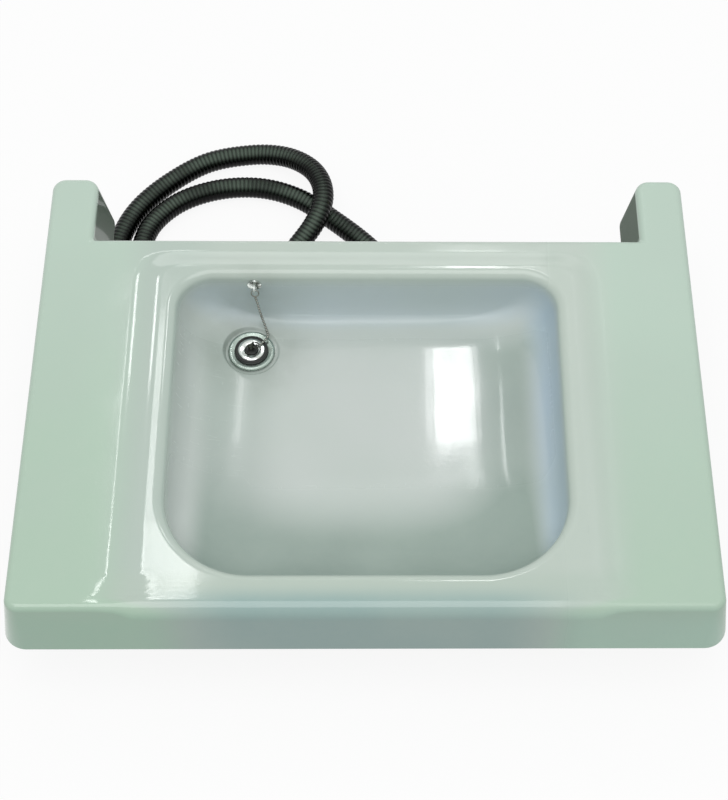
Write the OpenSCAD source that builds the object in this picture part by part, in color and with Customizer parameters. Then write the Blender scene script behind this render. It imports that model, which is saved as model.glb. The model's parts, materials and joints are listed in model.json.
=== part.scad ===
/* [Deck and skirt] */
// Width of the deck, side to side, at its top
deck_w = 600; // [520:5:760]
// Depth of the deck, front edge to rear edge, at its top
deck_d = 380; // [360:5:460]
// Height of the deck above the skirt's seat
skirt_h = 60; // [50:1:90]
// Slope of the skirt's walls in degrees
draft = 9; // [4:1:12]
// Thickness of the moulding
wall = 4; // [3:0.5:5]
// Plan radius of the deck's corners
corner_r = 11; // [9:1:30]
// Rounding of the deck's top edge
edge_r = 6; // [5.5:0.5:8]
// Rounding of the front edge across the recessed panel
nose_r = 14; // [9:1:15]

/* [Ears] */
// Reach of the ears behind the deck
ear_l = 72; // [45:1:110]
// Width of each ear at its top
ear_w = 42; // [34:1:60]
// Plan radius of an ear's corners
ear_corner_r = 12; // [10:1:15]
// Plan radius of the inner corner between ear and deck
notch_r = 4; // [2.5:0.5:8]

/* [Recessed panel] */
// Width of the recess across the tops of its two ramps
panel_w = 434; // [420:2:450]
// Depth of the recess below the deck
panel_drop = 6; // [3:0.5:9]
// Width of each side ramp
panel_ramp = 27; // [20:1:29]
// Width of the ramp behind the bowl
kerb_ramp = 13; // [9:0.5:13]
// Level strip between the rear ramp's top and the deck's rear edge
kerb_land = 13; // [8:0.5:14]
// Plan radius of the panel's rear corners at the foot of the ramps
panel_r = 16; // [8:1:24]

/* [Bowl] */
// Width of the bowl's opening
bowl_w = 354; // [340:2:364]
// Deck between the front edge and the bowl's opening
front_land = 35; // [30:1:60]
// Deck between the bowl's opening and the rear edge
rear_land = 30; // [29:1:40]
// Depth of the bowl's middle below the panel
bowl_depth = 60; // [50:1:80]
// Fall of the floor from the bowl's middle to the waste
bowl_fall = 4; // [1:0.5:6]
// Rounding of the bowl's rim
rim_r = 7; // [5:0.5:9]
// Plan radius of the opening's rear corners
rear_corner_r = 40; // [25:1:55]
// Plan radius of the opening's front corners
front_corner_r = 78; // [50:1:85]
// Horizontal run of the side walls down to the floor
side_run = 95; // [60:1:100]
// Horizontal run of the rear wall down to the floor
rear_run = 20; // [16:1:24]
// Horizontal run of the front wall down to the floor
front_run = 100; // [50:1:110]

/* [Waste] */
// Waste's centre, left (negative) or right of the sink's middle
waste_x = -110; // [-116:1:-104]
// Waste's centre behind the deck's middle
waste_y = 110; // [106:1:112]
// Radius of the flat seat moulded for the flange
pad_r = 25; // [24:0.5:26]
// Depth of that seat below the floor
pad_sink = 1; // [0.5:0.5:3]
// Radius of the flange
flange_r = 22; // [20:0.5:23]
// Height of the flange above its seal
flange_h = 2.6; // [2.2:0.1:3]
// Radius of the threaded tail
tail_r = 13.5; // [13.1:0.1:14.5]
// Length of the tail below the flange seat
tail_l = 27; // [25:1:32]
// Radius of the tail's bore
tail_bore_r = 11; // [9:0.5:11.5]
// Thickness of the cross grid's bars
grid_bar = 2; // [1.5:0.5:3]
// Thickness of the rubber washer under the flange
flange_seal_t = 1; // [0.5:0.5:2]
// Thickness of the rubber washer under the bowl
under_seal_t = 2.5; // [1.5:0.5:3]
// Thickness of the slip washer
slip_t = 1; // [0.5:0.5:1.5]
// Height of the backnut
backnut_h = 8; // [6:0.5:9]
// Radius of the backnut without its lugs
backnut_r = 18; // [17:0.5:21]

/* [Plug and chain] */
// Radius of the plug's lip
plug_lip_r = 15.6; // [15:0.1:17]
// Depth of the plug's cone below the flange seat
plug_depth = 7; // [4:0.5:8]
// Radius of the chain's balls
bead_r = 1.3; // [1:0.1:1.5]
// Radius of the wire between the balls
link_wire_r = 0.45; // [0.3:0.05:0.6]
// Radius of the wire of both rings
ring_wire_r = 0.6; // [0.4:0.1:0.7]
// Height of the chain stay's axis below the panel
stay_drop = 14; // [13:1:17]
// Chain stay's place, left (negative) or right of the sink's middle
stay_x = -106; // [-112:1:-100]
// Radius of the stay's stem
stay_stem_r = 2.5; // [2:0.1:3]
// Radius of the stay's flange
stay_flange_r = 6.5; // [5:0.5:7]

/* [Elbow, clip and hose] */
// Centre-line radius of the elbow's bend
bend_r = 11; // [10.5:0.5:14]
// Outer radius of the elbow's pipe
elbow_r = 10; // [9.2:0.1:10.2]
// Radius of the elbow's bore
elbow_bore_r = 6.5; // [5:0.5:7]
// Radius of the elbow's barbed spigot at its crests
barb_r = 8.2; // [7.6:0.1:8.2]
// Length of the spigot inside the hose
spigot_l = 26; // [22:1:32]
// Radius of the hose over its ribs
hose_r = 10.75; // [10:0.25:11]
// Depth of the grooves between the ribs
groove = 0.9; // [0.5:0.1:1.1]
// Radius of the hose's bore across its corners
hose_bore_r = 9.2; // [9:0.1:9.4]
// Ribs on each stretch between two points of the route
ribs_per_stretch = 4; // [3:1:5]
// Width of the clip's band
clip_w = 9; // [7:1:12]
// Thickness of the clip's band
clip_t = 0.8; // [0.6:0.1:1]

/* [Hidden] */

$fn = 64;

// Clearances
seat_gap = 0.3;
thread_gap = 0.12;
hole_gap = 0.4;
over = 1;

// Steps of the moulding's curves
edge_steps = 7;
ramp_steps = 7;
outline_steps = 8;
corner_steps = 12;
wall_steps = 11;
skin_steps = 8;

// Overshoot of curves that run out level, so that the plane above cuts them cleanly
lift = 0.02;

// Levels and places of the moulding
panel_z = skirt_h - panel_drop;
rim_z = panel_z - rim_r;
bowl_h = bowl_depth - rim_r;
pad_z = panel_z - bowl_depth - bowl_fall - pad_sink;
inner_in = wall / cos(draft) - wall * tan(draft);
edge_run = (1 - sin(draft)) / cos(draft);
nose_d = nose_r + 4;
nose_z = skirt_h / 2;
nose_sunk = 0.05;
rear_wall_y = deck_d / 2 - rear_land - rim_r;
hole_r = tail_r + hole_gap;

// Superellipse powers: a low one sweeps gently into the floor, a high one stays upright
side_power = 3;
rear_power = 4;
front_power = 2.4;
floor_rear_r = 50;
floor_front_r = 64;

// Levels of the waste, from the flange seat down
flange_z = pad_z + flange_seal_t;
boss_z = pad_z - wall;
slip_z = boss_z - under_seal_t;
backnut_z = slip_z - slip_t;
tail_z = pad_z - tail_l;
tail_washer_t = 2;
collar_h = 3;
collar_r = tail_r - 0.9;
collar_z = tail_z - tail_washer_t;
union_lip = 3;
union_z = collar_z - collar_h - union_lip;
union_h = union_lip + collar_h + tail_washer_t + 9;
union_r = 17.5;
elbow_z = union_z - seat_gap - 0.7 - bend_r;
dish_run = 0.227;
throat_r = tail_bore_r + 1;
dish_top_r = flange_r - 3;

// Places along the elbow's outlet, measured back from the waste's centre
stop_y = bend_r + 3;
stop_t = 2;
stop_r = elbow_r + 0.6;
hose_y = stop_y + stop_t + seat_gap;
clip_y = hose_y + 6;
band_r = hose_r + seat_gap;

// Plug, levels from the flange seat
plug_top = 5.2;
cap_floor = 4.2;
cap_r = 12.4;
boss_r = 5.8;
boss_top = 7;
eye_collar_t = 0.6;
eye_wire_r = 0.8;
eye_r = 3;
eye_z = boss_top + eye_collar_t + eye_r + 0.4;
ring_r = 3.5;

// Chain stay
stay_z = panel_z - stay_drop;
stay_eye_r = 3.4;
stay_eye_wire_r = 1;
stay_flange_t = 1.5;
stay_face_y = rear_wall_y - seat_gap;
stay_eye_y = stay_face_y - stay_flange_t - stay_eye_r - 0.6;
stay_back_y = rear_wall_y + wall + seat_gap;
stay_washer_t = 1;
stay_nut_t = 4;
stay_thread = 9;

// Ways in which the two rings lie in their eyes, and their wires' places in the holes
plug_ring_way = [0.78, 0.4, -0.3];
plug_eye_turn = atan2(plug_ring_way[1], plug_ring_way[0]);
plug_eye_axis = [-sin(plug_eye_turn), cos(plug_eye_turn), 0];
stay_ring_way = [0.1, -0.35, -0.93];
plug_ring_in = eye_r - eye_wire_r - ring_wire_r - seat_gap;
stay_ring_in = stay_eye_r - stay_eye_wire_r - ring_wire_r - seat_gap;

// Route of the chain between the two rings
ring_reach = 2 * ring_r + ring_wire_r + seat_gap + bead_r;
chain_from = [stay_x, stay_eye_y, stay_z] + (ring_reach + stay_ring_in) * unit(stay_ring_way);
chain_to = [waste_x, waste_y, pad_z + eye_z] + (ring_reach + plug_ring_in) * unit(plug_ring_way);
chain_route = [
    chain_from, [-103.2, 141.8, 20], [-101.4, 140, 9.8], [-99.2, 138, -0.2], [-96.2, 132.2, -6.8],
    [-95, 123.4, -5.2], chain_to
];
beads_per_stretch = 3;

// Route of the hose: from the elbow, once round behind and under the sink, then half round again
hose_route = [
    [waste_x, waste_y + hose_y, elbow_z], [-110, 150, -58], [-110, 189, -59.5],
    [-97, 226.5, -56], [-74, 257, -46.5], [-55, 284.5, -39.5], [-46.5, 311, -37], [-49, 338.5, -40],
    [-62.5, 364, -46.5], [-88, 383.5, -54], [-123, 390.5, -60], [-167.5, 380, -60], [-206, 353, -60],
    [-236, 319, -60], [-252, 281, -60], [-256, 241, -60], [-256, 198, -60], [-251, 152, -60],
    [-237, 107, -60], [-211, 70, -60], [-173, 38, -60], [-126, 19, -60], [-77, 15, -60],
    [-31, 27, -60], [11, 55, -60], [41, 94, -60], [55, 140, -60], [50, 187, -60],
    [31, 232, -60], [-1, 272, -60], [-35, 304, -60], [-71, 332, -60], [-111, 346, -60],
    [-155, 344, -60], [-195, 327, -60], [-222, 297, -60], [-231, 260, -60], [-230, 220, -60],
    [-229, 185, -60], [-229, 160, -60]
];
hose_sides = 8;
bore_rings = 2;

function ease(t) = t * t * (3 - 2 * t);

function blend(a, b, t) = a + (b - a) * t;

function arc(x, y, r, from, to, steps) = [
    for (k = [0 : steps])
    let (a = blend(from, to, k / steps))
    [x + r * cos(a), y + r * sin(a)]
];

// Smooth curve through points: the place on stretch i at share t
function on_route(route, i, t) =
    let (
        a = route[max(i - 1, 0)],
        b = route[i],
        c = route[i + 1],
        d = route[min(i + 2, len(route) - 1)]
    )
    0.5 * (2 * b + (c - a) * t + (2 * a - 5 * b + 4 * c - d) * t * t
        + (3 * b - a - 3 * c + d) * t * t * t);

function route_places(route, per) = concat(
    [for (i = [0 : len(route) - 2], k = [0 : per - 1]) on_route(route, i, k / per)],
    [route[len(route) - 1]]
);

function unit(v) = v / norm(v);

function heading(places, i) =
    unit(places[min(i + 1, len(places) - 1)] - places[max(i - 1, 0)]);

// Ring of points round a place on a level route
function tube_ring(place, way, r, sides) =
    let (
        side = unit(cross(way, [0, 0, 1])),
        rise = cross(side, way)
    )
    [for (k = [0 : sides - 1]) place + r * (cos(360 * k / sides) * side - sin(360 * k / sides) * rise)];

// Two triangles between points k and k + 1 of ring a and ring b
function strip(a, b, n) = [
    for (k = [0 : n - 1])
    let (m = (k + 1) % n)
    each [[a + k, b + k, b + m], [a + k, b + m, a + m]]
];

// Closed skin over rings that run counter-clockwise seen against the way they are stacked
module loft(rings) {
    n = len(rings[0]);
    last = len(rings) - 1;
    polyhedron(
        points = [for (ring = rings) each ring],
        faces = concat(
            [[for (k = [0 : n - 1]) k]],
            [for (j = [0 : last - 1]) each strip(j * n, (j + 1) * n, n)],
            [[for (k = [n - 1 : -1 : 0]) last * n + k]]
        )
    );
}

// Right half of the outline of deck and ears, front to rear, with the walls standing out by grow
function half_outline(grow) =
    let (
        hw = deck_w / 2,
        hd = deck_d / 2,
        ear_y = hd + ear_l - ear_corner_r,
        ear_r = ear_corner_r + grow
    )
    concat(
        arc(hw - corner_r, corner_r - hd, corner_r + grow, -90, 0, outline_steps),
        arc(hw - ear_corner_r, ear_y, ear_r, 0, 90, outline_steps),
        arc(hw - ear_w + ear_corner_r, ear_y, ear_r, 90, 180, outline_steps),
        arc(hw - ear_w - notch_r - grow, hd + notch_r + grow, notch_r, 0, -90, outline_steps)
    );

// Ring of the whole outline at a level
function deck_ring(grow, z) =
    let (half = half_outline(grow))
    concat(
        [for (p = half) [p[0], p[1], z]],
        [for (k = [len(half) - 1 : -1 : 0]) [-half[k][0], half[k][1], z]]
    );

// Space above the recessed panel, open over the front edge
module panel_space(top) {
    function ring(s, z) =
        let (
            half = panel_w / 2 - panel_ramp * (1 - s),
            rear = deck_d / 2 - kerb_land - kerb_ramp * (1 - s),
            r = panel_r + (panel_ramp + kerb_ramp) / 2 * s
        )
        [for (p = concat(
            arc(half - r, rear - r, r, 0, 90, outline_steps),
            arc(r - half, rear - r, r, 90, 180, outline_steps),
            [[-half, -deck_d], [half, -deck_d]]
        )) [p[0], p[1], z]];
    loft(concat(
        [for (k = [0 : ramp_steps]) ring(k / ramp_steps, ramp_level(k / ramp_steps, top))],
        [ring(1, top + 20)]
    ));
}

// Level of the recess at a share of the way up its ramp
function ramp_level(share, top) = top - panel_drop * (1 - ease(share)) + lift * share;

// Front edge across the recess: its rounding follows the two side ramps down to the panel and
// grows from edge to nose on the way. Its ends reach a little into the deck, just under the surface.
module panel_nose(in, top, edge) {
    shares = [for (k = [0 : ramp_steps]) k / ramp_steps];
    into = 1 + over / panel_ramp;
    stations = concat(
        [[-1, into]],
        [for (k = [ramp_steps : -1 : 0]) [-1, shares[k]]],
        [for (s = shares) [1, s]],
        [[1, into]]
    );
    loft([
        for (station = stations)
        let (
            share = min(station[1], 1),
            sunk = station[1] > 1 ? nose_sunk : 0,
            level = ramp_level(share, top) - sunk,
            e = edge + (nose_r - edge_r) * (1 - ease(share)),
            x = station[0] * (panel_w / 2 - panel_ramp * (1 - station[1])),
            wall_y = in + sunk - deck_d / 2 - (top - level) * tan(draft)
        )
        [for (p = concat(
            [[nose_d - deck_d / 2 + sunk, nose_z + sunk], [nose_d - deck_d / 2 + sunk, level]],
            arc(wall_y + e * edge_run, level - e, e, 90, 180 - draft, edge_steps),
            [[in + sunk - deck_d / 2 - (top - nose_z - sunk) * tan(draft), nose_z + sunk]]
        )) [x, p[0], p[1]]]
    ]);
}

// Outer or inner form of deck, skirt and ears: in sets it back, top is the deck's level
module deck_form(in, top, e, below) {
    section = concat(
        [[(top + below) * tan(draft), -below]],
        arc(-e * edge_run, top - e, e, draft, 90, edge_steps)
    );
    difference() {
        union() {
            difference() {
                loft([for (p = section) deck_ring(p[0] - in, p[1] + lift * max(p[1], 0) / top)]);
                panel_space(top);
                translate([-panel_w / 2, -deck_d, nose_z])
                    cube([panel_w, deck_d / 2 + nose_d, top]);
            }
            panel_nose(in, top, e);
        }
        translate([-deck_w, -deck_d, top])
            cube([2 * deck_w, 3 * deck_d, skirt_h]);
    }
}

// Share of the fall at a place: 1 at the waste, 0 at the bowl's middle
function fall_share(x, y) = (x * waste_x + y * waste_y) / (waste_x * waste_x + waste_y * waste_y);

// One ring of the bowl: phi 0 under the rim, 90 at the edge of the floor
function bowl_ring(phi, grow) =
    let (
        side_in = 1 - pow(cos(phi), 2 / side_power),
        half = bowl_w / 2 - rim_r + grow - side_run * side_in,
        rear = rear_wall_y + grow - rear_run * (1 - pow(cos(phi), 2 / rear_power)),
        front = front_land + rim_r - deck_d / 2 - grow + front_run * (1 - pow(cos(phi), 2 / front_power)),
        rear_r = blend(rear_corner_r - rim_r, floor_rear_r, side_in) + grow,
        front_r = blend(front_corner_r - rim_r, floor_front_r, side_in) + grow
    )
    [
        for (corner = [0 : 3], k = [0 : corner_steps])
        let (
            a = 90 * corner + 90 * k / corner_steps,
            at_rear = corner < 2,
            r = at_rear ? rear_r : front_r,
            way = corner == 0 || corner == 3 ? 1 : -1,
            x = way * (half - r) + r * cos(a),
            y = (at_rear ? rear - r : front + r) + r * sin(a),
            end_drop = pow(sin(phi), 2 / (at_rear ? rear_power : front_power)),
            drop = pow(sin(phi), 2 / side_power) * pow(cos(a), 2) + end_drop * pow(sin(a), 2),
            fall = bowl_fall * fall_share(x, y) * pow(sin(phi), 2)
        )
        [x, y, rim_z - (bowl_h + grow) * drop - fall]
    ];

// Ring of the bowl's rim at one level
function rim_ring(spread, z) = [for (p = bowl_ring(0, spread)) [p[0], p[1], z]];

module bowl_space() {
    last = 75;
    flare = rim_r * (1 - cos(last)) + (over + rim_r * (1 - sin(last))) * tan(last);
    loft(concat(
        [for (k = [wall_steps : -1 : 0]) bowl_ring(90 * k / wall_steps, 0)],
        [for (b = [25, 50, last]) rim_ring(rim_r * (1 - cos(b)), rim_z + rim_r * sin(b))],
        [rim_ring(flare, panel_z + over), rim_ring(flare, skirt_h + 10)]
    ));
}

module bowl_skin() {
    loft(concat(
        [for (k = [skin_steps : -1 : 0]) bowl_ring(90 * k / skin_steps, wall)],
        [rim_ring(rim_r, panel_z - wall / 2)]
    ));
}

module sink_moulding() {
    color([0.83, 0.9, 0.86])
        difference() {
            union() {
                difference() {
                    deck_form(0, skirt_h, edge_r, over);
                    deck_form(inner_in, skirt_h - wall, edge_r - wall, 2 * over);
                    translate([-deck_w, -deck_d, -skirt_h])
                        cube([2 * deck_w, 3 * deck_d, skirt_h]);
                }
                bowl_skin();
                translate([waste_x, waste_y, boss_z])
                    cylinder(r = pad_r + wall, h = wall + 3 * bowl_fall);
            }
            bowl_space();
            translate([waste_x, waste_y, pad_z])
                cylinder(r = pad_r, h = 20);
            translate([waste_x, waste_y, boss_z - over])
                cylinder(r = hole_r, h = wall + 2 * over);
            translate([stay_x, rear_wall_y - over, stay_z])
                rotate([-90, 0, 0])
                cylinder(r = stay_stem_r + hole_gap, h = wall + 2 * over);
        }
}

// Straight pipe standing on level 0, with a bore through it
module pipe(inner_r, outer_r, h) {
    difference() {
        cylinder(r = outer_r, h = h);
        translate([0, 0, -over])
            cylinder(r = inner_r, h = h + 2 * over);
    }
}

// Ring with a round hole, standing on level z at the waste
module waste_ring(inner_r, outer_r, z, h) {
    translate([waste_x, waste_y, z])
        pipe(inner_r, outer_r, h);
}

module flange_seal() {
    color("dimgray")
        waste_ring(hole_r, flange_r - 1, pad_z, flange_seal_t);
}

// Flange, dish, throat, cross grid and threaded tail
module waste_flange() {
    grid_z = -plug_depth - grid_bar - 1.5;
    top = flange_seal_t + flange_h;
    color("silver")
        translate([waste_x, waste_y, pad_z]) {
            rotate_extrude()
                polygon([
                    [tail_r, flange_seal_t], [flange_r, flange_seal_t], [flange_r, top - 1.6],
                    [flange_r - 0.4, top - 0.8], [flange_r - 1.2, top - 0.2], [flange_r - 2.2, top],
                    [dish_top_r, top - 0.1], [throat_r, top - 0.1 - dish_run * (dish_top_r - throat_r)],
                    [tail_bore_r, -plug_depth - 1], [tail_bore_r, -tail_l], [tail_r - 0.5, -tail_l],
                    [tail_r, 0.5 - tail_l]
                ]);
            for (turn = [0, 90])
                rotate([0, 0, turn])
                    translate([-tail_bore_r - 0.8, -grid_bar / 2, grid_z])
                    cube([2 * tail_bore_r + 1.6, grid_bar, grid_bar]);
            translate([0, 0, grid_z])
                cylinder(r = 2 * grid_bar, h = grid_bar);
        }
}

module under_seal() {
    color("dimgray")
        waste_ring(tail_r + thread_gap, backnut_r + 2, slip_z, under_seal_t);
}

module slip_washer() {
    color("whitesmoke")
        waste_ring(tail_r + thread_gap, backnut_r + 1.5, backnut_z, slip_t);
}

// Plastic backnut with finger lugs round its rim
module waste_backnut() {
    lugs = 8;
    lug_r = 2.2;
    lug_foot = 0.8;
    lug_turn = 11;
    rim_t = 2;
    rim_out = 1.8;
    color("gainsboro")
        translate([waste_x, waste_y, backnut_z - backnut_h])
        difference() {
            union() {
                cylinder(r = backnut_r, h = backnut_h);
                translate([0, 0, backnut_h - rim_t])
                    cylinder(r = backnut_r + rim_out, h = rim_t);
                for (k = [0 : lugs - 1])
                    rotate([0, 0, 360 * k / lugs + lug_turn])
                        translate([backnut_r - lug_foot, 0, lug_foot])
                        cylinder(r = lug_r, h = backnut_h - rim_t, $fn = 32);
            }
            translate([0, 0, -over])
                cylinder(r = tail_r + thread_gap, h = backnut_h + 2 * over);
        }
}

module tail_washer() {
    color("dimgray")
        waste_ring(elbow_bore_r + 1.5, tail_r - 0.5, collar_z, tail_washer_t);
}

// Ribbed nut that hooks under the elbow's collar
module union_nut() {
    ribs = 16;
    color("gainsboro")
        translate([waste_x, waste_y, union_z])
        difference() {
            union() {
                cylinder(r = union_r - 1, h = union_h);
                cylinder(r = union_r, h = 2);
                for (k = [0 : ribs - 1])
                    rotate([0, 0, 360 * k / ribs])
                        translate([union_r - 1.2, 0, 0])
                        cylinder(r = 1.2, h = union_h - 1.5, $fn = 24);
            }
            translate([0, 0, union_lip - thread_gap])
                cylinder(r = tail_r + thread_gap, h = union_h);
            translate([0, 0, -over])
                cylinder(r = elbow_r + seat_gap, h = union_h);
        }
}

// Elbow: collar under the tail, quarter bend, barbed spigot pointing back
module hose_elbow() {
    barbs = 3;
    barb_step = (spigot_l - 5) / barbs;
    root_r = barb_r - 0.7;
    stop_at = stop_y - bend_r;
    collar_at = collar_z - collar_h - elbow_z;
    color("gainsboro")
        translate([waste_x, waste_y, elbow_z]) {
            translate([0, 0, bend_r])
                pipe(elbow_bore_r, elbow_r, collar_at - bend_r);
            translate([0, 0, collar_at])
                pipe(elbow_bore_r, collar_r, collar_h);
            translate([0, bend_r, bend_r])
                rotate([0, 90, 0])
                rotate([0, 0, -90])
                rotate_extrude(angle = 90)
                translate([bend_r, 0])
                difference() {
                    circle(r = elbow_r);
                    circle(r = elbow_bore_r);
                }
            translate([0, bend_r, 0])
                rotate([-90, 0, 0]) {
                    pipe(elbow_bore_r, elbow_r, stop_at);
                    translate([0, 0, stop_at])
                        pipe(elbow_bore_r, stop_r, stop_t);
                    translate([0, 0, stop_at + stop_t])
                        pipe(elbow_bore_r, root_r, spigot_l);
                    for (k = [0 : barbs - 1])
                        translate([0, 0, stop_at + stop_t + 5 + barb_step * k])
                            difference() {
                                cylinder(r1 = barb_r, r2 = root_r, h = barb_step - 0.5);
                                translate([0, 0, -over])
                                    cylinder(r = elbow_bore_r + 0.4, h = barb_step + over);
                            }
                }
        }
}

// Band of the worm-drive clip round the hose
module clip_band() {
    color("silver")
        translate([waste_x, waste_y + clip_y, elbow_z])
        rotate([-90, 0, 0])
        pipe(band_r, band_r + clip_t, clip_w);
}

// Saddle over the band that holds the clip's screw
module clip_housing() {
    color("silver")
        translate([waste_x, waste_y + clip_y, elbow_z])
        difference() {
            translate([-6, -1, band_r + clip_t - 2])
                cube([12, clip_w + 2, 9]);
            rotate([-90, 0, 0])
                translate([0, 0, -2])
                cylinder(r = band_r + clip_t + 0.15, h = clip_w + 4);
            translate([-6 - over, clip_w / 2, band_r + clip_t + 3.3])
                rotate([0, 90, 0])
                cylinder(r = 2.9, h = 12 + 2 * over);
        }
}

// Worm screw with a slotted hexagon head
module clip_screw() {
    color("lightgray")
        translate([waste_x, waste_y + clip_y + clip_w / 2, elbow_z + band_r + clip_t + 3.3])
        rotate([0, 90, 0])
        difference() {
            union() {
                translate([0, 0, -6.5])
                    cylinder(r = 2.6, h = 13.5, $fn = 32);
                translate([0, 0, 6.3])
                    cylinder(r = 4, h = 3.6, $fn = 6);
            }
            translate([-5, -0.5, 8.7])
                cube([10, 1, 2]);
        }
}

// Ribbed hose with its bore: rings stand alternately on a rib and in a groove
module waste_hose() {
    places = route_places(hose_route, 2 * ribs_per_stretch);
    bore_places = route_places(hose_route, bore_rings);
    last = len(places) - 1;
    bore_last = len(bore_places) - 1;
    n = hose_sides;
    inner = (last + 1) * n;
    color([0.07, 0.08, 0.07])
        polyhedron(
            points = concat(
                [for (i = [0 : last])
                    each tube_ring(places[i], heading(places, i), i % 2 == 1 ? hose_r : hose_r - groove, n)],
                [for (i = [0 : bore_last])
                    each tube_ring(bore_places[i], heading(bore_places, i), hose_bore_r, n)]
            ),
            faces = concat(
                [for (i = [0 : last - 1]) each strip(i * n, (i + 1) * n, n)],
                [for (i = [0 : bore_last - 1]) each strip(inner + (i + 1) * n, inner + i * n, n)],
                strip(inner, 0, n),
                strip(last * n, inner + bore_last * n, n)
            )
        );
    gaps = [
        for (i = [0 : 4 : last], j = [i + 24 : 2 : last])
        norm(places[i] - places[j]) - 2 * hose_r
    ];
    echo(hose_length = sum_steps(places), least_gap_to_itself = min(gaps));
}

function sum_steps(places, i = 1) =
    i == len(places) ? 0 : norm(places[i] - places[i - 1]) + sum_steps(places, i + 1);

// Rubber plug: cone in the throat, lip on the dish, boss in the middle
module plug_body() {
    rest = flange_seal_t + flange_h - 0.1 + seat_gap;
    lip_z = rest - dish_run * (dish_top_r - plug_lip_r);
    neck_r = throat_r - 0.4;
    color([0.1, 0.1, 0.1])
        translate([waste_x, waste_y, pad_z])
        difference() {
            rotate_extrude()
                polygon([
                    [0, -plug_depth], [neck_r - 1.2, -plug_depth], [neck_r - 0.6, 0.5 - plug_depth],
                    [neck_r, rest - dish_run * (dish_top_r - neck_r)], [plug_lip_r, lip_z],
                    [plug_lip_r, plug_top - 0.7], [plug_lip_r - 0.8, plug_top], [cap_r + 0.2, plug_top],
                    [cap_r + 0.2, cap_floor], [boss_r, cap_floor], [boss_r, boss_top - 0.8],
                    [boss_r - 0.8, boss_top], [0, boss_top]
                ]);
            cylinder(r = 1.4, h = boss_top + over, $fn = 24);
        }
}

// Bright ring let into the plug's top
module plug_cap() {
    color("silver")
        translate([waste_x, waste_y, pad_z + cap_floor])
        rotate_extrude()
        polygon([
            [boss_r + 0.2, 0], [cap_r, 0], [cap_r, 0.9], [cap_r - 0.8, 1.4], [cap_r - 2.4, 1.6],
            [boss_r + 1.6, 1.2], [boss_r + 0.2, 0.7]
        ]);
}

// Wire ring through an eye whose own axis is given, hanging the given way
module wire_ring(way, eye_axis, r, wire) {
    u = unit(way);
    side = unit(cross(u, eye_axis));
    multmatrix([
        [u[0], -cross(u, side)[0], side[0], 0],
        [u[1], -cross(u, side)[1], side[1], 0],
        [u[2], -cross(u, side)[2], side[2], 0]
    ])
        rotate_extrude()
        translate([r, 0])
        circle(r = wire, $fn = 24);
}

module plug_eye() {
    color("silver")
        translate([waste_x, waste_y, pad_z]) {
            translate([0, 0, boss_top - 5])
                cylinder(r = 1.2, h = 5 + eye_collar_t, $fn = 24);
            translate([0, 0, boss_top])
                cylinder(r = 2.4, h = eye_collar_t + 0.8, $fn = 32);
            translate([0, 0, eye_z])
                rotate([90, 0, plug_eye_turn])
                rotate_extrude()
                translate([eye_r, 0])
                circle(r = eye_wire_r, $fn = 24);
        }
}

module plug_ring() {
    color("silver")
        translate([waste_x, waste_y, pad_z + eye_z] + (ring_r + plug_ring_in) * unit(plug_ring_way))
        wire_ring(plug_ring_way, plug_eye_axis, ring_r, ring_wire_r);
}

module stay_ring() {
    color("silver")
        translate([stay_x, stay_eye_y, stay_z] + (ring_r + stay_ring_in) * unit(stay_ring_way))
        wire_ring(stay_ring_way, [1, 0, 0], ring_r, ring_wire_r);
}

// Ball chain along its route: balls joined by short wires
module plug_chain() {
    places = route_places(chain_route, beads_per_stretch);
    color("silver")
        for (i = [0 : len(places) - 1]) {
            translate(places[i])
                sphere(r = bead_r, $fn = 24);
            if (i > 0) {
                step = places[i] - places[i - 1];
                translate(places[i - 1])
                    rotate([0, acos(step[2] / norm(step)), atan2(step[1], step[0])])
                    cylinder(r = link_wire_r, h = norm(step), $fn = 16);
            }
        }
    echo(chain_length = sum_steps(places), chain_steps = len(places));
}

// Stem through the rear wall, flange against it and an eye in front
module chain_stay() {
    color("silver")
        translate([stay_x, 0, stay_z]) {
            translate([0, stay_face_y - stay_flange_t, 0])
                rotate([-90, 0, 0]) {
                    cylinder(r = stay_flange_r, h = stay_flange_t);
                    cylinder(r = stay_stem_r, h = stay_back_y - stay_face_y + stay_flange_t + stay_thread);
                }
            translate([0, stay_eye_y, 0])
                rotate([0, 90, 0])
                rotate_extrude()
                translate([stay_eye_r, 0])
                circle(r = stay_eye_wire_r, $fn = 24);
        }
}

module stay_washer() {
    color("dimgray")
        translate([stay_x, stay_back_y, stay_z])
        rotate([-90, 0, 0])
        pipe(stay_stem_r + thread_gap, stay_flange_r, stay_washer_t);
}

module stay_nut() {
    color("silver")
        translate([stay_x, stay_back_y + stay_washer_t, stay_z])
        rotate([-90, 0, 0])
        difference() {
            cylinder(r = 1.9 * stay_stem_r, h = stay_nut_t, $fn = 6);
            translate([0, 0, -over])
                cylinder(r = stay_stem_r + thread_gap, h = stay_nut_t + 2 * over);
        }
}

sink_moulding();
waste_flange();
flange_seal();
under_seal();
slip_washer();
waste_backnut();
tail_washer();
union_nut();
hose_elbow();
clip_band();
clip_housing();
clip_screw();
waste_hose();
plug_body();
plug_cap();
plug_eye();
plug_ring();
plug_chain();
stay_ring();
chain_stay();
stay_washer();
stay_nut();
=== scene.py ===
import json

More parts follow.
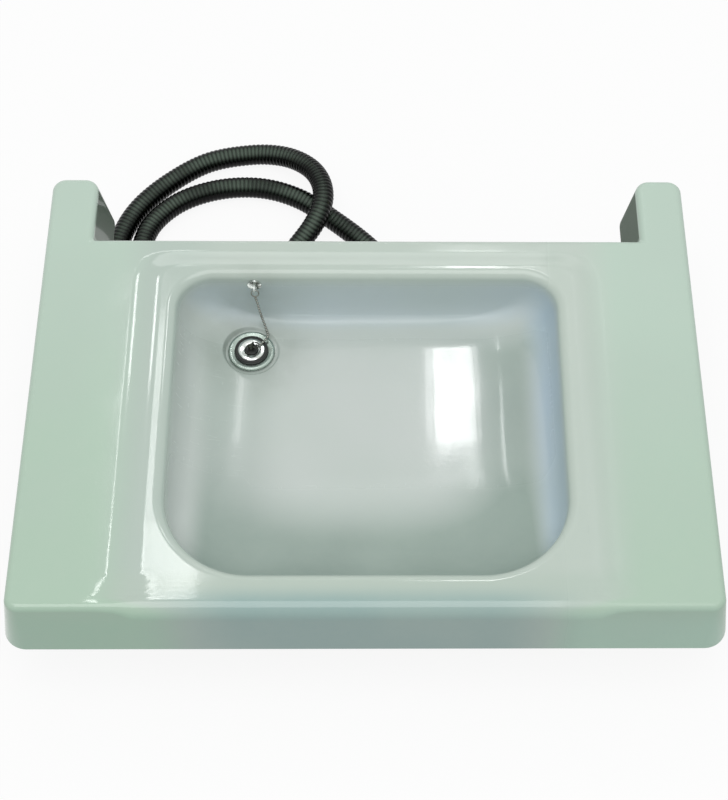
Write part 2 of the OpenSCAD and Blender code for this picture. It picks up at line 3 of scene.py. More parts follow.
import bpy
import numpy as np
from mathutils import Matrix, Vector


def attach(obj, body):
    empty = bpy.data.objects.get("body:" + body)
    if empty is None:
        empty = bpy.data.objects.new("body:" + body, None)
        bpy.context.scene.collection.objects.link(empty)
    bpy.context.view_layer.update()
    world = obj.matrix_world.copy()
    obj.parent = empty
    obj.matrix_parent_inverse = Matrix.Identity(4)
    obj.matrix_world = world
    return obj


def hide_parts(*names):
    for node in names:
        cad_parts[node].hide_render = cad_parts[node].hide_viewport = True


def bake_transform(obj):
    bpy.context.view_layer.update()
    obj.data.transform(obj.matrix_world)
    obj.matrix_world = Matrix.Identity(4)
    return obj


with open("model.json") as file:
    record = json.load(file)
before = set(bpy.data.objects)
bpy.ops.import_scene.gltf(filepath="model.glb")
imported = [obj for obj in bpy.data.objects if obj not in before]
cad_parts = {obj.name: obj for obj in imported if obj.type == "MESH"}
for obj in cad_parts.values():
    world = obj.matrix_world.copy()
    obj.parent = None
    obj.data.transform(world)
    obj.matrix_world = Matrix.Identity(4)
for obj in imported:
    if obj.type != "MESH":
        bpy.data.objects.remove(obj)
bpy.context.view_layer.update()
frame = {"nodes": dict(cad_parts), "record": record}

# The object's own sizes are in millimetres, in the CAD's frame. A mesh is scaled to metres as it is made.
MM = 0.001

TOP, WALL, DRAFT = 60.0, 4.0, np.radians(9)
DECK_W, DECK_D, CORNER_R, EDGE_R, NOSE_R = 600.0, 380.0, 11.0, 6.0, 14.0
EAR_L, EAR_W, EAR_R, NOTCH_R = 72.0, 42.0, 12.0, 4.0
PANEL_W, PANEL_DROP, PANEL_RAMP, KERB_RAMP, KERB_LAND, PANEL_R = 434.0, 6.0, 27.0, 13.0, 13.0, 16.0
BOWL_W, FRONT_LAND, REAR_LAND, BOWL_DEPTH, BOWL_FALL, RIM_R = 354.0, 35.0, 30.0, 60.0, 4.0, 7.0
REAR_CORNER_R, FRONT_CORNER_R, FLOOR_REAR_R, FLOOR_FRONT_R = 40.0, 78.0, 50.0, 64.0
SIDE_RUN, REAR_RUN, FRONT_RUN = 95.0, 20.0, 100.0
SIDE_POWER, REAR_POWER, FRONT_POWER = 3.0, 4.0, 2.4
WASTE = np.array([-110.0, 110.0])
# The side and front walls lean out by LEAN at the top. RIM_START_R is the radius of the rim's rounding at an
# upright wall, before rim_section scales the curve to the rim's height.
LEAN, RIM_START_R = 5.4, 4.4
# How far the bowl's floor sags before its right wall, and between which places across
FLOOR_SAG, SAG_FROM, SAG_TO = 2.5, 50.0, 130.0
# Seat of the waste and its hole. A soft step, PAD_STEP wide, starts PAD_LIP outside the seat and leads down to it.
# PAD_RING is the radius of one more ring of points on the seat.
PAD_R, PAD_Z, HOLE_R, PAD_LIP, PAD_STEP, PAD_RING = 25.0, -11.0, 13.9, 2.2, 2.9, 20.0
# Last ring of the bowl's walls: from there straight lines in plan run to the waste's seat
LAST_RING = np.radians(56)
PANEL_Z = TOP - PANEL_DROP
RIM_Z = PANEL_Z - RIM_R
BOWL_H = BOWL_DEPTH - RIM_R
REAR_WALL = DECK_D / 2 - REAR_LAND - RIM_R
INNER_IN = WALL / np.cos(DRAFT) - WALL * np.tan(DRAFT)
EDGE_RUN = (1 - np.sin(DRAFT)) / np.cos(DRAFT)

# The hose, in metres: the CAD's route from the elbow, once round behind and under the sink, then half round again
HOSE_ROUTE = np.array([
    [-0.11, 0.1263, -0.058], [-0.11, 0.15, -0.058], [-0.11, 0.189, -0.0595], [-0.097, 0.2265, -0.056],
    [-0.074, 0.257, -0.0465], [-0.055, 0.2845, -0.0395], [-0.0465, 0.311, -0.037], [-0.049, 0.3385, -0.04],
    [-0.0625, 0.364, -0.0465], [-0.088, 0.3835, -0.054], [-0.123, 0.3905, -0.06], [-0.1675, 0.38, -0.06],
    [-0.206, 0.353, -0.06], [-0.236, 0.319, -0.06], [-0.252, 0.281, -0.06], [-0.256, 0.241, -0.06],
    [-0.256, 0.198, -0.06], [-0.251, 0.152, -0.06], [-0.237, 0.107, -0.06], [-0.211, 0.07, -0.06],
    [-0.173, 0.038, -0.06], [-0.126, 0.019, -0.06], [-0.077, 0.015, -0.06], [-0.031, 0.027, -0.06],
    [0.011, 0.055, -0.06], [0.041, 0.094, -0.06], [0.055, 0.14, -0.06], [0.05, 0.187, -0.06],
    [0.031, 0.232, -0.06], [-0.001, 0.272, -0.06], [-0.035, 0.304, -0.06], [-0.071, 0.332, -0.06],
    [-0.111, 0.346, -0.06], [-0.155, 0.344, -0.06], [-0.195, 0.327, -0.06], [-0.222, 0.297, -0.06],
    [-0.231, 0.26, -0.06], [-0.23, 0.22, -0.06], [-0.229, 0.185, -0.06], [-0.229, 0.16, -0.06],
])
HOSE_R, GROOVE, HOSE_BORE_R, RIB_PITCH = 10.75, 0.6, 9.2, 4.3
RIB_STEPS, HOSE_SIDES, GROOVE_POWER = 8, 20, 1.7
# The hose's painted highlight lies on this side: none where the surface stands out that way by the first share of
# the radius or less, all of it from the second share on
PAINTED_HIGHLIGHT_SIDE, PAINTED_HIGHLIGHT_FROM, PAINTED_HIGHLIGHT_FULL = np.array([0, -0.36, 0.93]), 0.76, 0.98

# The ball chain, between the ring in the stay's eye and the ring in the plug's eye
CHAIN_ROUTE = np.array([
    [-103.2, 141.8, 20], [-101.4, 140, 9.8], [-99.2, 138, -0.2], [-96.2, 132.2, -6.8], [-95, 123.4, -5.2],
])
BEAD_R, LINK_R, CHAIN_SIDES = 1.3, 0.45, 12
# Where the chain ends, with the CAD's sizes: the wire rings and the gap that parts keep, then the stay's place,
# flange and eye, then the height of the plug's eye over the seat. Each ring points from its eye's middle along
# its _WAY, and the near side of its wire lies the _IN size from that middle.
RING_R, RING_WIRE_R, SEAT_GAP = 3.5, 0.6, 0.3
STAY_X, STAY_DROP, STAY_FLANGE_T, STAY_EYE_R, STAY_EYE_GAP, STAY_RING_IN = -106.0, 14.0, 1.5, 3.4, 0.6, 1.5
PLUG_EYE_RISE, PLUG_RING_IN = 11.0, 1.3
PLUG_RING_WAY, STAY_RING_WAY = np.array([0.78, 0.4, -0.3]), np.array([0.1, -0.35, -0.93])


def linear(red, green, blue):
    """Screen colour from 0 to 255 to the linear colour that a shader takes."""
    c = np.array([red, green, blue]) / 255
    return tuple(np.where(c <= 0.04045, c / 12.92, ((c + 0.055) / 1.055) ** 2.4)) + (1.0,)


class Wire:
    """An output socket of a node, so that shader values are reckoned with as numbers are."""

    def __init__(self, finish, socket):
        self.finish, self.socket = finish, socket

    def math(self, operation, *values):
        return self.finish.node("ShaderNodeMath", {"operation": operation}, dict(enumerate(values)))

    def __add__(self, other):
        return self.math("ADD", self, other)

    def __sub__(self, other):
        return self.math("SUBTRACT", self, other)

    def __rsub__(self, other):
        return self.math("SUBTRACT", other, self)

    def __mul__(self, other):
        return self.math("MULTIPLY", self, other)

    def __truediv__(self, other):
        return self.math("DIVIDE", self, other)

    def __pow__(self, other):
        return self.math("POWER", self, other)

    def __abs__(self):
        return self.math("ABSOLUTE", self)

    __radd__, __rmul__ = __add__, __mul__


class Finish:
    """A material or world made of nodes. node() adds any node: its settings first, then its sockets."""

    def __init__(self, name, owner=None):
        self.owner = owner or bpy.data.materials.new(name)
        self.owner.use_nodes = True
        self.tree = self.owner.node_tree
        self.tree.nodes.clear()

    def node(self, kind, settings=None, sockets=None, output=0):
        made = self.tree.nodes.new(kind)
        for key, value in (settings or {}).items():
            setattr(made, key, value)
        for key, value in (sockets or {}).items():
            if isinstance(value, Wire):
                self.tree.links.new(value.socket, made.inputs[key])
            else:
                made.inputs[key].default_value = value
        return Wire(self, made.outputs[output]) if len(made.outputs) else None

    def place(self):
        """The three coordinates of a place on the object, in metres."""
        point = self.node("ShaderNodeTexCoord", output="Object")
        split = self.node("ShaderNodeSeparateXYZ", sockets={0: point})
        return [Wire(self, split.socket.node.outputs[k]) for k in range(3)]

    def least(self, a, b):
        """The smaller of two values."""
        return self.node("ShaderNodeMath", {"operation": "MINIMUM"}, {0: a, 1: b})

    def shown(self):
        """1 for rays from the camera, in reflections and through clear things, 0 for rays that only light."""
        outputs = self.node("ShaderNodeLightPath").socket.node.outputs
        kinds = ("Camera", "Glossy", "Transmission")
        seen, glossy, passed = (Wire(self, outputs[f"Is {kind} Ray"]) for kind in kinds)
        return self.least(seen + glossy + passed, 1.0)

    def noise(self, scale, detail=3, roughness=0.5, finer=(1, 1, 1), shift=0.0):
        """Noise from 0 to 1, with scale waves to a metre, and finer along each axis by the given times."""
        point = self.node("ShaderNodeTexCoord", output="Object")
        moved = self.node("ShaderNodeMapping", sockets={
            0: point, "Scale": finer, "Location": (shift, shift, shift)})
        return self.node("ShaderNodeTexNoise", sockets={
            "Vector": moved, "Scale": scale, "Detail": detail, "Roughness": roughness})

    def ramp(self, value, low, high, start=0.0, end=1.0):
        """Smooth step from start at low to end at high."""
        return self.node("ShaderNodeMapRange", {"interpolation_type": "SMOOTHSTEP"}, {
            "Value": value, "From Min": low, "From Max": high, "To Min": start, "To Max": end})

    def mix(self, factor, a, b):
        """Colour a where the factor is 0, b where it is 1."""
        return self.node("ShaderNodeMix", {"data_type": "RGBA"}, {0: factor, 6: a, 7: b}, output=2)

    def bump(self, height, distance, strength=1.0, under=None):
        """Relief of the given depth in metres, laid over another relief if there is one."""
        sockets = {"Height": height, "Distance": distance, "Strength": strength}
        if under is not None:
            sockets["Normal"] = under
        return self.node("ShaderNodeBump", sockets=sockets)

    def surface(self, **sockets):
        """Ends the material in a principled surface; sockets are named with _ for a space."""
        named = {key.replace("_", " "): value for key, value in sockets.items()}
        shader = self.node("ShaderNodeBsdfPrincipled", sockets=named)
        self.node("ShaderNodeOutputMaterial", sockets={"Surface": shader})
        return self.owner


def near_waste(f, inner, outer):
    """1 within inner metres of the waste's centre in plan, 0 beyond outer metres."""
    x, y, _ = f.place()
    away = ((x - WASTE[0] * MM) ** 2 + (y - WASTE[1] * MM) ** 2) ** 0.5
    return f.ramp(away, inner, outer, 1.0, 0.0)


def gloss_moulding():
    """Pale greenish white, greener on the wings and their skirt and lighter towards their rear by painted light, a
    little darker on the left and the front of the panel, whiter in the bowl with a painted bluish light on its
    right wall and a bluish rear wall, and a painted shade of darker blue-green on the nose before the panel. A soft
    peel lies in the gloss. It is duller on the sink's right side and, in the bowl, towards the rear, the front and
    the left. Some grey lies about the waste, painted shade darkens the foot of the bowl's walls, and the faces
    between the ears are dull and darkened by painted shade."""
    f = Finish("moulding_gloss")
    x, y, z = f.place()
    wings = f.ramp(abs(x) + 0.05 * f.ramp(y, -0.178, -0.19) + 0.24 * f.ramp(y, 0.187, 0.192), 0.19, 0.235)
    inside = f.ramp(z, 0.053, 0.03) * f.ramp(abs(x), 0.185, 0.175) * f.ramp(abs(y), 0.172, 0.165)
    # Painted light: the wings are lighter towards the rear and a little towards the right
    rear = f.ramp(y + 0.15 * x, -0.2, 0.25)
    colour = f.mix(rear, linear(184, 211, 190), linear(199, 220, 206))
    panel = f.mix(f.ramp(x, -0.18, -0.12), linear(193, 208, 199), linear(203, 215, 206))
    panel = f.mix(f.ramp(y, -0.145, -0.165), panel, linear(194, 209, 198))
    colour = f.mix(wings, panel, colour)
    colour = f.mix(inside, colour, linear(210, 217, 214))
    # Painted light: a bluish light on the bowl's right wall
    colour = f.mix(inside * f.ramp(x, 0.14, 0.168), colour, linear(190, 209, 226))
    colour = f.mix(inside * f.ramp(y, 0.13, 0.15) * 0.7, colour, linear(203, 217, 226))
    # Painted shade: the bowl darkens towards the foot of its walls, more towards the right and the front
    foot = ((x / 0.135) ** 4 + ((y - 0.03) / 0.13) ** 4) ** 0.25
    painted_shade_at_walls = f.ramp(foot, 0.5, 1.02) * (1 - f.ramp(abs(x), 0.14, 0.165)) * (1 - f.ramp(y, 0.1, 0.14))
    painted_shade_strength = 0.5 + 0.3 * f.ramp(x, 0.0, 0.12) + 0.45 * f.ramp(y, 0.0, -0.1)
    colour = f.mix(inside * painted_shade_at_walls * painted_shade_strength, colour, linear(146, 164, 156))
    skirt = f.ramp(y, -0.186, -0.195) * wings
    colour = f.mix(skirt, colour, f.mix(f.ramp(x, -0.1, 0.1), linear(173, 211, 187), linear(192, 226, 208)))
    # Painted shade: darker blue-green on the nose before the panel
    nose = f.ramp(y, -0.163, -0.182) * f.ramp(abs(x), 0.2, 0.1)
    colour = f.mix(nose, colour, linear(155, 184, 181))
    colour = f.mix(f.ramp(f.noise(7, 2), 0.35, 0.7, 0.0, 0.25), colour, linear(190, 206, 196))
    colour = f.mix(f.noise(90, 3, 0.6) * 0.1, colour, linear(214, 220, 208))
    colour = f.mix(near_waste(f, 0.02, 0.075) * f.noise(45, 4, 0.6) * 0.6, colour, linear(140, 150, 140))
    # Painted shade darkens the faces between the ears
    shade = f.ramp(y, 0.191, 0.2) * f.ramp(abs(x), 0.2592, 0.2578) * f.ramp(z, 0.0545, 0.0525)
    colour = f.mix(shade * 0.9, colour, linear(62, 78, 62))
    scratches = f.ramp(f.noise(60, 2, 0.5, (1, 9, 1)), 0.6, 0.72)
    scratches = scratches + f.ramp(f.noise(60, 2, 0.5, (8, 2, 1), 3.1), 0.62, 0.74)
    edges = f.ramp(y, 0.11, 0.13) + f.ramp(y, -0.018, -0.05) + f.ramp(x, -0.1, -0.115) * 0.6
    dull = f.least(f.ramp(x, 0.155, 0.175) + inside * edges, 1.0)
    roughness = 0.08 + 0.05 * f.noise(30, 3) + inside * 0.05 * scratches + shade * 0.3 + dull * 0.22
    waves = f.bump(f.noise(11, 1), 0.0012)
    peel = f.bump(f.noise(260, 2), 0.00004, 1.0, waves)
    return f.surface(Base_Color=colour, Roughness=roughness, Normal=peel, Coat_Weight=0.4 * (1 - dull),
                     Coat_Roughness=0.04, IOR=1.5)


def back_moulding():
    """The moulding's unseen side: the same plastic, rough, with the strands of its backing."""
    f = Finish("moulding_back")
    strands = f.noise(40, 3, 0.6, (1, 9, 4)) + f.noise(40, 3, 0.6, (9, 1, 4), 2.3)
    colour = f.mix(f.ramp(strands, 0.7, 1.3), linear(176, 190, 176), linear(204, 208, 190))
    normal = f.bump(strands, 0.0006, 0.7, f.bump(f.noise(150, 4), 0.0003))
    return f.surface(Base_Color=colour, Roughness=0.42 + 0.25 * f.noise(25, 3), Normal=normal, IOR=1.5)


def plated_metal(name, bright, dull, rough, tarnish):
    """Plated metal: water marks and a little tarnish that take the shine away in patches."""
    f = Finish(name)
    marks = f.ramp(f.noise(140, 4, 0.65), 0.5, 0.72)
    colour = f.mix(marks * tarnish, linear(*bright), linear(*dull))
    fine = f.bump(f.noise(900, 2), 0.00002)
    return f.surface(Base_Color=colour, Metallic=1.0, Roughness=rough + marks * 0.16 + 0.05 * f.noise(500, 2),
                     Normal=fine)


def rolled_steel():
    """Rolled strip: fine lines along the strip, in colour, roughness and relief."""
    f = Finish("clip_steel")
    lines = f.noise(300, 3, 0.6, (1, 12, 1))
    colour = f.mix(lines, linear(168, 170, 168), linear(206, 207, 203))
    return f.surface(Base_Color=colour, Metallic=1.0, Roughness=0.26 + 0.2 * lines,
                     Normal=f.bump(lines, 0.00005, 0.6))


def rubber(name, dark, dust_and_highlight, rough):
    """Black rubber with patches of dust and a fine grain."""
    f = Finish(name)
    grain = f.noise(420, 4, 0.6)
    dust = f.ramp(f.noise(60, 4, 0.6), 0.42, 0.75)
    colour = f.mix(dust * 0.6, linear(*dark), linear(*dust_and_highlight))
    return f.surface(Base_Color=colour, Roughness=rough + 0.15 * dust, Normal=f.bump(grain, 0.00008, 0.6), IOR=1.48)


def white_plastic():
    """Moulded white plastic with flow marks and a satin grain."""
    f = Finish("white_plastic")
    flow = f.noise(30, 3, 0.5, (1, 1, 3))
    colour = f.mix(f.ramp(flow, 0.35, 0.7), linear(226, 226, 218), linear(210, 210, 198))
    colour = f.mix(f.ramp(f.noise(80, 4, 0.7), 0.6, 0.8, 0.0, 0.3), colour, linear(168, 164, 146))
    return f.surface(Base_Color=colour, Roughness=0.34 + 0.12 * flow, Normal=f.bump(f.noise(700, 2), 0.00004, 0.5))


def hose_plastic():
    """Black hose: a painted highlight, a greenish film along its upper front side, and olive specks, stronger in
    patches and fainter on the painted highlight."""
    f = Finish("hose_plastic")
    crest = f.node("ShaderNodeAttribute", {"attribute_name": "crest"}, output="Fac")
    specks = f.ramp(f.noise(150, 4, 0.7), 0.6, 0.74)
    patches = f.ramp(f.noise(14, 2), 0.45, 0.65)
    # Painted highlight: a greenish film where the crest value is high, on the hose's upper front side
    colour = f.mix(crest * f.ramp(f.noise(22, 3), 0.3, 0.6, 0.45, 1.0), linear(3, 4, 3), linear(88, 101, 90))
    colour = f.mix(specks * (0.15 + 0.5 * patches) * (1 - 0.5 * crest), colour, linear(66, 72, 44))
    return f.surface(Base_Color=colour, Roughness=0.2 + 0.25 * specks + 0.08 * f.noise(60, 3),
                     Normal=f.bump(f.noise(500, 3), 0.00005, 0.6), IOR=1.22)


# Pieces whose finish differs from that of their slot: the flange is dulled by water, the plug's wires are dark
OWN_FINISHES = {
    "waste_flange": plated_metal("dulled_metal", (172, 184, 177), (128, 136, 126), 0.22, 0.6),
    "plug_eye": plated_metal("dark_wire", (70, 72, 66), (38, 38, 32), 0.3, 0.8),
}
OWN_FINISHES["plug_ring"] = OWN_FINISHES["plug_eye"]

FINISHES = {
    "moulding": gloss_moulding(),
    "bright_metal": plated_metal("bright_metal", (218, 221, 219), (150, 148, 136), 0.08, 0.5),
    "chain_metal": plated_metal("chain_metal", (150, 150, 144), (92, 86, 70), 0.2, 0.8),
    "clip_steel": rolled_steel(),
    "seal_rubber": rubber("seal_rubber", (38, 38, 38), (72, 72, 68), 0.62),
    "plug_rubber": rubber("plug_rubber", (20, 21, 20), (48, 50, 44), 0.34),
    "white_plastic": white_plastic(),
    "hose_plastic": hose_plastic(),
}


def ease(t):
    return t * t * (3 - 2 * t)


def unit(v):
    return v / np.linalg.norm(v, axis=-1, keepdims=True)


def quads(rows, columns):
    """Four-cornered faces between neighbouring rows of a grid, whose last column joins its first."""
    row = np.arange(rows - 1)[:, None] * columns
    column = np.arange(columns)[None, :]
    a, b = row + column, row + (column + 1) % columns
    return np.stack([a, b, b + columns, a + columns], axis=-1).reshape(-1, 4)


def add_piece(name, points, faces, finish, body="sink", rounds=(), sharp=35, second=None, crest=None):
    """Mesh from points in millimetres, four-cornered faces and a few many-cornered ones (rounds). It is smooth
    except over edges sharper than the angle. second is a second finish and, for each face, 0 for the first one
    or 1 for the second. crest is a value for each point, which the hose's finish reads."""
    mesh = bpy.data.meshes.new(name)
    corners = np.concatenate([faces.ravel()] + [np.asarray(r) for r in rounds])
    sizes = np.concatenate([np.full(len(faces), 4), np.array([len(r) for r in rounds], int)])
    mesh.vertices.add(len(points))
    mesh.vertices.foreach_set("co", (points * MM).astype(np.float32).ravel())
    mesh.loops.add(len(corners))
    mesh.loops.foreach_set("vertex_index", corners.astype(np.int32))
    mesh.polygons.add(len(sizes))
    mesh.polygons.foreach_set("loop_start", (np.cumsum(sizes) - sizes).astype(np.int32))
    mesh.update(calc_edges=True)
    mesh.materials.append(finish)
    if second:
        mesh.materials.append(second[0])
        mesh.polygons.foreach_set("material_index", second[1].astype(np.int32))
    if crest is not None:
        mesh.attributes.new("crest", "FLOAT", "POINT").data.foreach_set("value", crest.astype(np.float32))
    mesh.shade_smooth()
    mesh.set_sharp_from_angle(angle=np.radians(sharp))
    piece = bpy.data.objects.new(name, mesh)
    bpy.context.scene.collection.objects.link(piece)
    if body:
        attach(piece, body)
    return piece


# Camera: at the photograph's place and angle
camera = bpy.data.objects.new("camera", bpy.data.cameras.new("camera"))
camera.location = (0.0063, -0.8125, 1.3952)
camera.rotation_euler = (0.5451, -0.01905, -0.01045)
camera.data.sensor_fit = "VERTICAL"
camera.data.sensor_height = 36
camera.data.lens = 79.64
camera.data.shift_x, camera.data.shift_y = -0.0609, 0.0194
bpy.context.scene.collection.objects.link(camera)
bpy.context.scene.camera = camera


def through(route, share):
    """Smooth curve through the route's points at shares counted in stretches: each stretch is a cubic whose
    slope at a point is half the way from the point before it to the point after it."""
    i = np.minimum(share.astype(int), len(route) - 2)
    t = (share - i)[:, None]
    last = len(route) - 1
    a, b, c, d = route[np.maximum(i - 1, 0)], route[i], route[i + 1], route[np.minimum(i + 2, last)]
    return 0.5 * (2 * b + (c - a) * t + (2 * a - 5 * b + 4 * c - d) * t ** 2 + (3 * b - a - 3 * c + d) * t ** 3)


def evenly(route, fine=80):
    """Length of the curve, and a function that gives its places and directions at lengths along it."""
    share = np.linspace(0, len(route) - 1, (len(route) - 1) * fine + 1)
    places = through(route, share)
    along = np.concatenate([[0], np.cumsum(np.linalg.norm(np.diff(places, axis=0), axis=1))])

    def at(lengths):
        here = np.interp(lengths, along, share)
        step = 0.01
        ahead = through(route, np.minimum(here + step, len(route) - 1))
        behind = through(route, np.maximum(here - step, 0))
        return through(route, here), unit(ahead - behind)

    return along[-1], at


def tube(places, ways, radii, sides, level=(0, 0, 1.0)):
    """Rings round a line: each stands square to its way, with the given radius."""
    side = unit(np.cross(ways, np.array(level)))
    rise = np.cross(side, ways)
    turn = np.linspace(0, 2 * np.pi, sides, endpoint=False)
    ring = np.cos(turn)[:, None] * side[:, None, :] - np.sin(turn)[:, None] * rise[:, None, :]
    return places[:, None, :] + radii[:, None, None] * ring


def waste_hose():
    """Ribbed hose: the radius falls from a broad crest into a narrow groove once in each pitch, as a power of a
    cosine along the length. The plain bore runs back inside, and rings close both ends."""
    length, at = evenly(HOSE_ROUTE / MM)
    ribs = int(round(length / RIB_PITCH))
    steps = np.arange(ribs * RIB_STEPS + 1)
    deep = (0.5 + 0.5 * np.cos(2 * np.pi * steps / RIB_STEPS)) ** GROOVE_POWER
    middle, ways = at(steps / RIB_STEPS * length / ribs)
    outer = tube(middle, ways, HOSE_R - GROOVE * deep, HOSE_SIDES)
    back = np.linspace(length, 0, ribs + 1)
    inner = tube(*at(back), np.full(len(back), HOSE_BORE_R), HOSE_SIDES)
    rings = np.concatenate([outer, inner, outer[:1]])
    faces = quads(len(rings), HOSE_SIDES)
    points = rings[:-1].reshape(-1, 3)
    # The finish's painted highlight: most on the crests of that side, less in the grooves, none in the bore
    facing = (outer - middle[:, None, :]) @ unit(PAINTED_HIGHLIGHT_SIDE) / HOSE_R
    dust_and_highlight = ease(np.clip((facing - PAINTED_HIGHLIGHT_FROM) / (PAINTED_HIGHLIGHT_FULL - PAINTED_HIGHLIGHT_FROM), 0, 1))
    crest = np.concatenate([((1 - 0.6 * deep)[:, None] * dust_and_highlight).ravel(), np.zeros(len(inner) * HOSE_SIDES)])
    piece = add_piece("waste_hose_ribbed", points, faces % len(points), FINISHES["hose_plastic"],
                      crest=crest, sharp=70)
    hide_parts("waste_hose")
    path = at(np.linspace(0, length, 500))[0] * MM
    length * MM


waste_hose()


def plug_chain():
    """Ball chain as one turned form along its route: the radius is the ball's half circle round each ball's
    middle, and the link's wire between two balls."""
    reach = 2 * RING_R + RING_WIRE_R + SEAT_GAP + BEAD_R
    stay_y = REAR_WALL - SEAT_GAP - STAY_FLANGE_T - STAY_EYE_R - STAY_EYE_GAP
    stay_eye = np.array([STAY_X, stay_y, PANEL_Z - STAY_DROP])
    start = stay_eye + (reach + STAY_RING_IN) * unit(STAY_RING_WAY)
    end = np.append(WASTE, PAD_Z + PLUG_EYE_RISE) + (reach + PLUG_RING_IN) * unit(PLUG_RING_WAY)
    route = np.concatenate([[start], CHAIN_ROUTE, [end]])
    share = np.linspace(0, len(route) - 1, 3 * (len(route) - 1) + 1)
    balls = through(route, share)
    steps = np.linalg.norm(np.diff(balls, axis=0), axis=1)
    ball_at = np.concatenate([[0], np.cumsum(steps)])
    turn = np.radians(np.linspace(-70, 70, 11))
    local = BEAD_R * np.sin(turn)
    lengths = (ball_at[:, None] + local).ravel()
    radii = np.tile(np.maximum(BEAD_R * np.cos(turn), LINK_R), len(ball_at))
    piece_of = np.clip(np.searchsorted(ball_at, lengths, side="right") - 1, 0, len(steps) - 1)
    part = (lengths - ball_at[piece_of]) / steps[piece_of]
    places = balls[piece_of] + part[:, None] * (balls[piece_of + 1] - balls[piece_of])
    ways = unit(np.gradient(through(route, np.linspace(0, len(route) - 1, len(lengths))), axis=0))
    rings = tube(places, ways, radii, CHAIN_SIDES, (-0.7, 0.7, 0))
    tips = np.array([balls[0] - BEAD_R * ways[0], balls[-1] + BEAD_R * ways[-1]])
    first, last = (np.repeat(tip[None, None], CHAIN_SIDES, 1) for tip in tips)
    rings = np.concatenate([first, rings, last])
    piece = add_piece("plug_chain_balls", rings.reshape(-1, 3), quads(len(rings), CHAIN_SIDES),
                      FINISHES["chain_metal"], body=None, sharp=50)
    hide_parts("plug_chain")
    tuple(start * MM)
    tuple(end * MM)
    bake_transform(piece)


plug_chain()


# Stations round the bowl: 24 steps on each corner, and on each straight side the shares of its length. They stand
# close together near the waste, where the rings gather.
ARC = 24
NEAR = np.linspace(0, 1, 34)[1:-1]
EVEN = np.linspace(0, 1, 24)[1:-1]
STRAIGHTS = [1 - (1 - NEAR) ** 1.8, NEAR ** 1.8, EVEN, EVEN]


def around(corners):
    """Closed ring of stations from the arcs of its four corners, with the straight sides filled in by STRAIGHTS."""
    parts = []
    for k in range(4):
        a, b = corners[k], corners[(k + 1) % 4]
        share = STRAIGHTS[k][:, None]
        parts += [a, a[-1] + (b[0] - a[-1]) * share]
    return np.concatenate(parts)


def corner_angles(k):
    return np.radians(90 * k + np.linspace(0, 90, ARC + 1))


def bowl_sizes(phi, grow=0.0):
    """Plan of the bowl's ring at phi, which goes from 0 under the rim to 90 degrees at the floor: each wall moves
    in by its run as a superellipse does, and the side and front walls by their lean too, evenly with the height.
    The rear wall has no lean, because the chain's stay is fastened to it. The rim's rings grow outwards all
    round by grow."""
    side_in = 1 - np.cos(phi) ** (2 / SIDE_POWER)
    side_lean = LEAN * (1 - np.sin(phi) ** (2 / SIDE_POWER))
    front_lean = LEAN * (1 - np.sin(phi) ** (2 / FRONT_POWER))
    half = BOWL_W / 2 - RIM_R + grow - SIDE_RUN * side_in + side_lean
    rear = REAR_WALL + grow - REAR_RUN * (1 - np.cos(phi) ** (2 / REAR_POWER))
    front = FRONT_LAND + RIM_R - DECK_D / 2 - grow + FRONT_RUN * (1 - np.cos(phi) ** (2 / FRONT_POWER)) - front_lean
    rear_r = REAR_CORNER_R - RIM_R + (FLOOR_REAR_R - REAR_CORNER_R + RIM_R) * side_in + grow
    front_r = FRONT_CORNER_R - RIM_R + (FLOOR_FRONT_R - FRONT_CORNER_R + RIM_R) * side_in + grow + front_lean
    return half, rear, front, rear_r, front_r


def bowl_level(phi, x, y, across, at_rear):
    """Height of the bowl at phi: side and end walls sink by their own superellipse, shared by the squared cosine
    (across) of the way the wall faces. The floor falls evenly to the waste, and sags a little on the right."""
    end_drop = np.sin(phi) ** (2 / np.where(at_rear, REAR_POWER, FRONT_POWER))
    drop = np.sin(phi) ** (2 / SIDE_POWER) * across + end_drop * (1 - across)
    fall = BOWL_FALL * (x * WASTE[0] + y * WASTE[1]) / (WASTE @ WASTE) * np.sin(phi) ** 2
    sag = FLOOR_SAG * ease(np.clip((x - SAG_FROM) / (SAG_TO - SAG_FROM), 0, 1)) * np.sin(phi) ** 2
    return RIM_Z - BOWL_H * drop - fall - sag


def bowl_ring(phi, grow=0.0, level=None):
    """Ring of the bowl: a rounded rectangle in plan, at its own heights, or all at one level."""
    half, rear, front, rear_r, front_r = bowl_sizes(phi, grow)
    corners = []
    for k in range(4):
        a = corner_angles(k)
        at_rear = k < 2
        r = rear_r if at_rear else front_r
        x = (1 if k in (0, 3) else -1) * (half - r) + r * np.cos(a)
        y = (rear - r if at_rear else front + r) + r * np.sin(a)
        z = bowl_level(phi, x, y, np.cos(a) ** 2, at_rear) if level is None else np.full_like(x, level)
        corners.append(np.stack([x, y, z], axis=-1))
    return around(corners)


def bowl_height(x, y):
    """Height of the bowl's inside at a place in plan: halving finds the ring that runs through it."""
    low, high = np.zeros_like(x), np.full_like(x, np.pi / 2)
    for _ in range(40):
        phi = (low + high) / 2
        half, rear, front, rear_r, front_r = bowl_sizes(phi)
        at_rear = y > (rear - rear_r + front + front_r) / 2
        r = np.where(at_rear, rear_r, front_r)
        over_x = np.abs(x) - (half - r)
        over_y = np.where(at_rear, y - (rear - r), front + r - y)
        corner = (over_x > 0) & (over_y > 0)
        beyond = np.where(corner, np.hypot(over_x, over_y), np.maximum(over_x, over_y)) - r
        low, high = np.where(beyond < 0, phi, low), np.where(beyond < 0, high, phi)
    across = np.where(corner, over_x ** 2 / (over_x ** 2 + over_y ** 2), (over_x > over_y) * 1.0)
    return bowl_level(phi, x, y, across, at_rear)


